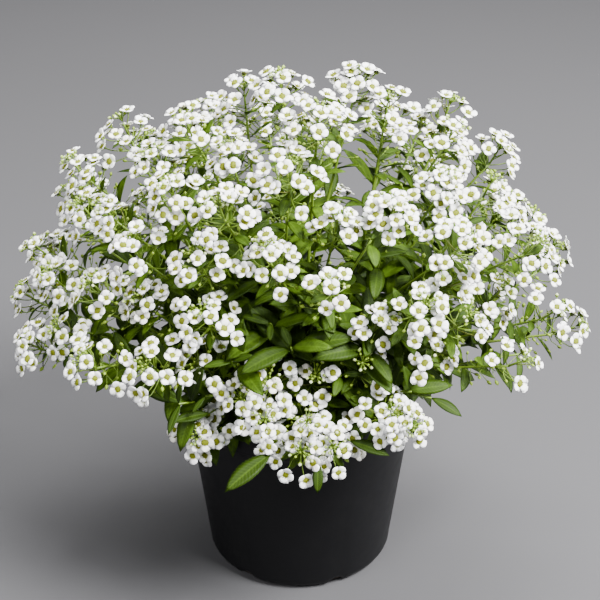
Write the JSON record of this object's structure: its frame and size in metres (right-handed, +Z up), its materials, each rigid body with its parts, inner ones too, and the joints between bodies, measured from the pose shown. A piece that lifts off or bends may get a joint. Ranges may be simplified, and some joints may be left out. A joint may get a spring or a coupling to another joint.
{
  "type": "sweet alyssum in a nursery pot",
  "caption": "White-flowering sweet alyssum: branching leafy stems end in rounded heads of four-petalled florets that form one mound over a round black nursery pot of soil.",
  "frame": {"origin": "middle of the underside of the pot", "axes": "+Z up along the pot's axis, -Y towards the front of the plant, +X to the right as seen from the front, along the mound's widest direction"},
  "size_m": [0.2905, 0.2391, 0.2747],
  "materials": {
    "pot_plastic": "satin moulded black plastic",
    "potting_mix": "rough peat-like potting mix",
    "stem_and_bloom": "matt living plant: green stems and leaves under white florets",
    "petals": "matt white petals",
    "floret_centres": "matt yellow-green floret centres",
    "foliage": "soft satin green leaves, stems and buds"
  },
  "bodies": {
    "root": {"flowering_stem_01": "stem_and_bloom", "flowering_stem_02": "stem_and_bloom", "flowering_stem_03": "stem_and_bloom", "flowering_stem_04": "stem_and_bloom", "flowering_stem_05": "stem_and_bloom", "flowering_stem_06": "stem_and_bloom", "flowering_stem_07": "stem_and_bloom", "flowering_stem_08": "stem_and_bloom", "flowering_stem_09": "stem_and_bloom", "flowering_stem_10": "stem_and_bloom", "flowering_stem_11": "stem_and_bloom", "flowering_stem_12": "stem_and_bloom", "flowering_stem_13": "stem_and_bloom", "flowering_stem_14": "stem_and_bloom", "flowering_stem_15": "stem_and_bloom", "flowering_stem_16": "stem_and_bloom", "flowering_stem_17": "stem_and_bloom", "flowering_stem_18": "stem_and_bloom", "flowering_stem_19": "stem_and_bloom", "flowering_stem_20": "stem_and_bloom", "flowering_stem_21": "stem_and_bloom", "flowering_stem_22": "stem_and_bloom", "flowering_stem_23": "stem_and_bloom", "flowering_stem_24": "stem_and_bloom", "flowering_stem_25": "stem_and_bloom", "flowering_stem_26": "stem_and_bloom", "flowering_stem_27": "stem_and_bloom", "flowering_stem_28": "stem_and_bloom", "flowering_stem_29": "stem_and_bloom", "flowering_stem_30": "stem_and_bloom", "flowering_stem_31": "stem_and_bloom", "pot": "pot_plastic", "potting_soil": "potting_mix"}
  },
  "joints": []
}
